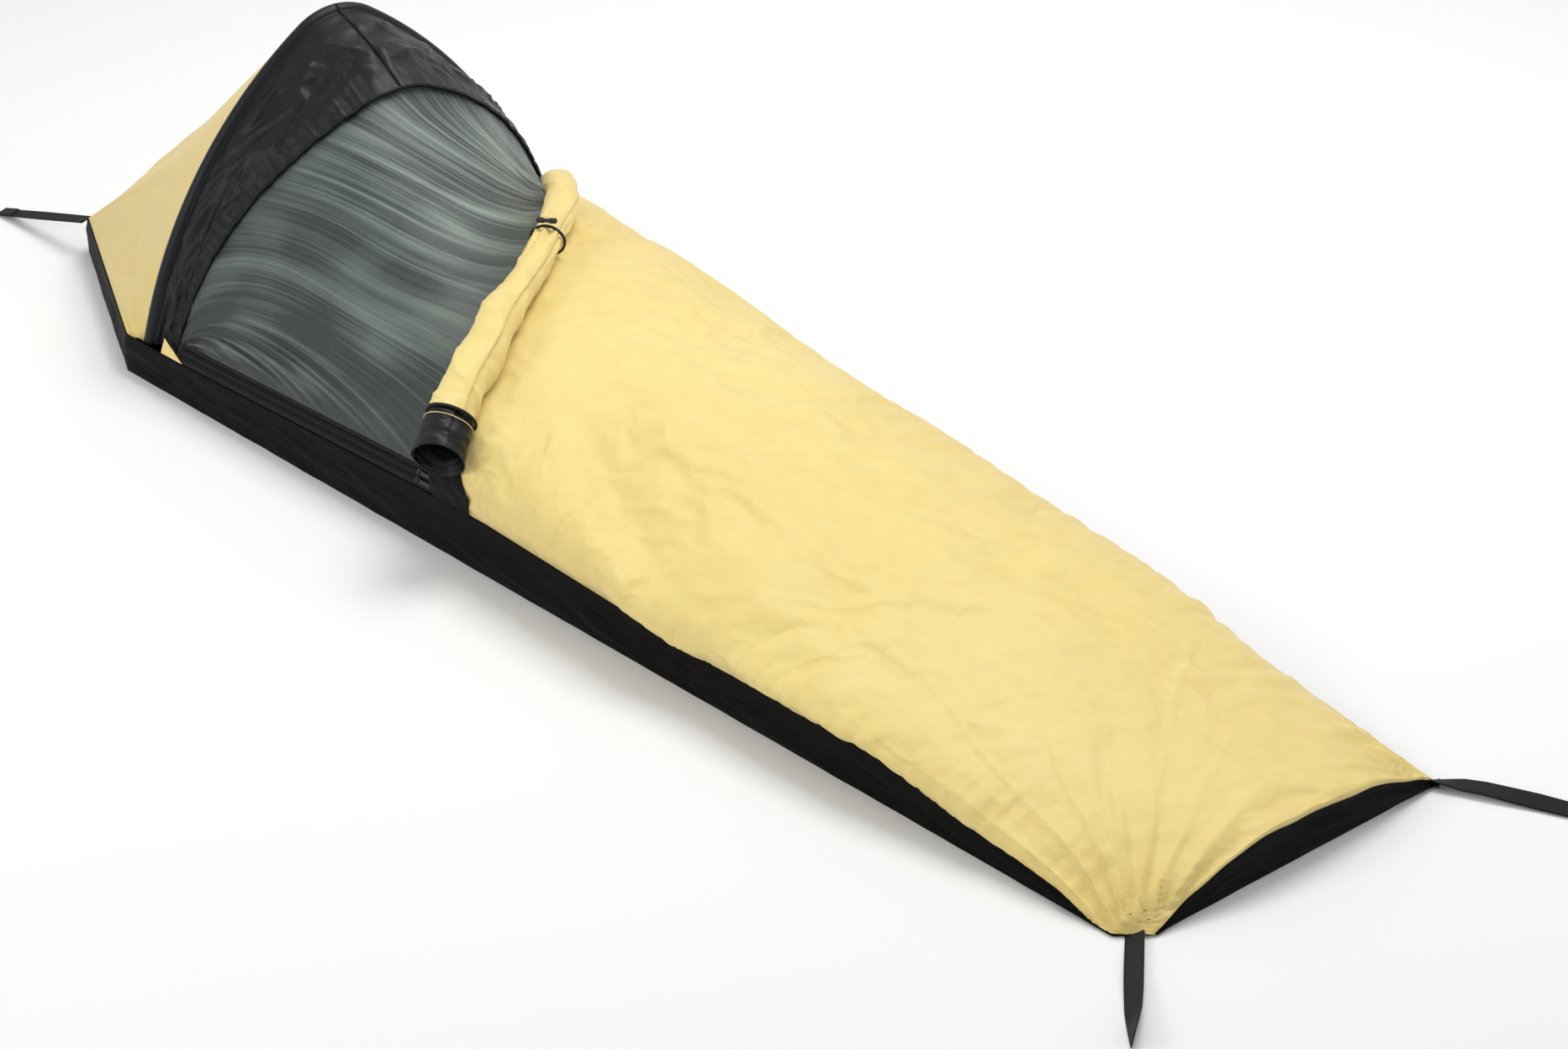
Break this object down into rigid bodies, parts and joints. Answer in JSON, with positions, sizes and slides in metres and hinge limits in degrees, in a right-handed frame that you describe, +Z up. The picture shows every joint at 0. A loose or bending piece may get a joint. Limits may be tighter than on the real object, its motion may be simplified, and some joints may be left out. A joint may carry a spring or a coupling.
{
  "type": "bivy sack",
  "caption": "Single-hoop bivy sack for one sleeper, pitched: tub floor, stuffed upper, hooped hood with brim, insect mesh, rolled storm door and stake-out straps.",
  "frame": {"origin": "on the ground under the middle of the shoulder line, where the floor is widest", "axes": "+X towards the foot end, +Y towards the sleeper's left (the side away from the zips), +Z up"},
  "size_m": [2.5026, 0.7025, 0.4381],
  "materials": {
    "floor_fabric": "coated ripstop, matte",
    "seam_tape": "clear-grey film",
    "shell_fabric": "coated ripstop with a soft sheen",
    "brim_fabric": "coated taffeta, satin",
    "elastic": "braided cord",
    "pole_tube": "anodised satin",
    "plastic": "moulded, matte",
    "webbing": "woven, matte",
    "insect_mesh": "fine net, semi-sheer",
    "zip_tape": "woven, matte",
    "zip_coil": "satin nylon",
    "thread": "stitched"
  },
  "bodies": {
    "sack": {"floor_tub": "floor_fabric", "wall_seam_tape": "seam_tape", "upper_panel": "shell_fabric", "foot_seam_tape": "seam_tape", "hood_back_near": "shell_fabric", "hood_back_far": "shell_fabric", "hood_back_seam": "shell_fabric", "mesh_panel": "insect_mesh", "side_gusset": "shell_fabric", "mesh_zip_tape": "zip_tape", "mesh_zip_coil": "zip_coil", "door_roll": "shell_fabric", "door_cuff": "brim_fabric", "door_piping": "brim_fabric", "door_zip_tape": "zip_tape", "door_zip_coil": "zip_coil", "zip_end_stops": "plastic", "tie_cord": "elastic", "bar_tacks": "thread", "corner_patch": "brim_fabric"},
    "hood_hoop": {"brim_near": "brim_fabric", "brim_far": "brim_fabric", "brim_seam": "brim_fabric", "brim_edge_cord": "elastic", "pole_sleeve": "brim_fabric", "pole_crown_section": "pole_tube", "pole_upper_sections": "pole_tube", "pole_lower_sections": "pole_tube", "pole_ferrules": "pole_tube", "pole_end_tips": "plastic", "tip_pockets": "webbing", "shock_cord": "elastic"},
    "mesh_zip_slider": {"mesh_slider": "plastic"},
    "mesh_zip_pull": {"mesh_pull": "plastic"},
    "door_zip_slider": {"door_slider": "plastic"},
    "door_zip_pull": {"door_pull": "plastic"},
    "toggle": {"tie_toggle": "plastic"},
    "strap_head_near_web": {"strap_head_near": "webbing"},
    "strap_head_far_web": {"strap_head_far": "webbing"},
    "strap_foot_near_web": {"strap_foot_near": "webbing"},
    "strap_foot_far_web": {"strap_foot_far": "webbing"}
  },
  "joints": [
    {"name": "hood_lean", "type": "hinge", "parent": "sack", "child": "hood_hoop", "pos_m": [0.038, 0, 0.04], "axis": [0, 1, 0], "range_deg": [-6, 14], "deforming": ["hood_back_near", "hood_back_far", "hood_back_seam", "mesh_panel"]},
    {"name": "mesh_zip_slide", "type": "slide", "parent": "sack", "child": "mesh_zip_slider", "axis": [-0.9984, -0.0487, -0.0296], "range_m": [0, 0.48]},
    {"name": "mesh_pull_swing", "type": "hinge", "parent": "mesh_zip_slider", "child": "mesh_zip_pull", "pos_m": [0.62118, -0.29778, 0.08802], "axis": [0.0444, -0.3403, -0.9393], "range_deg": [0, 172]},
    {"name": "door_zip_slide", "type": "slide", "parent": "sack", "child": "door_zip_slider", "axis": [-0.9984, -0.0487, -0.0296], "range_m": [0, 0.48]},
    {"name": "door_pull_swing", "type": "hinge", "parent": "door_zip_slider", "child": "door_zip_pull", "pos_m": [0.62118, -0.3012, 0.07863], "axis": [0.0444, -0.3403, -0.9393], "range_deg": [0, 172]},
    {"name": "toggle_turn", "type": "hinge", "parent": "sack", "child": "toggle", "pos_m": [0.46071, 0.02097, 0.26954], "axis": [0.023, -0.0263, 0.9994], "range_deg": [-80, 80]},
    {"name": "strap_head_near_lift", "type": "hinge", "parent": "sack", "child": "strap_head_near_web", "pos_m": [-0.36922, -0.1793, 0.04845], "axis": [-0.1392, 0.9903, 0], "range_deg": [0, 110]},
    {"name": "strap_head_far_lift", "type": "hinge", "parent": "sack", "child": "strap_head_far_web", "pos_m": [-0.36922, 0.1793, 0.04845], "axis": [0.1392, 0.9903, 0], "range_deg": [0, 110]},
    {"name": "strap_foot_near_lift", "type": "hinge", "parent": "sack", "child": "strap_foot_near_web", "pos_m": [1.76353, -0.23576, 0.0038], "axis": [-0.7193, -0.6947, 0], "range_deg": [0, 115]},
    {"name": "strap_foot_far_lift", "type": "hinge", "parent": "sack", "child": "strap_foot_far_web", "pos_m": [1.77838, 0.21427, 0.0038], "axis": [0.454, -0.891, 0], "range_deg": [0, 115]}
  ]
}
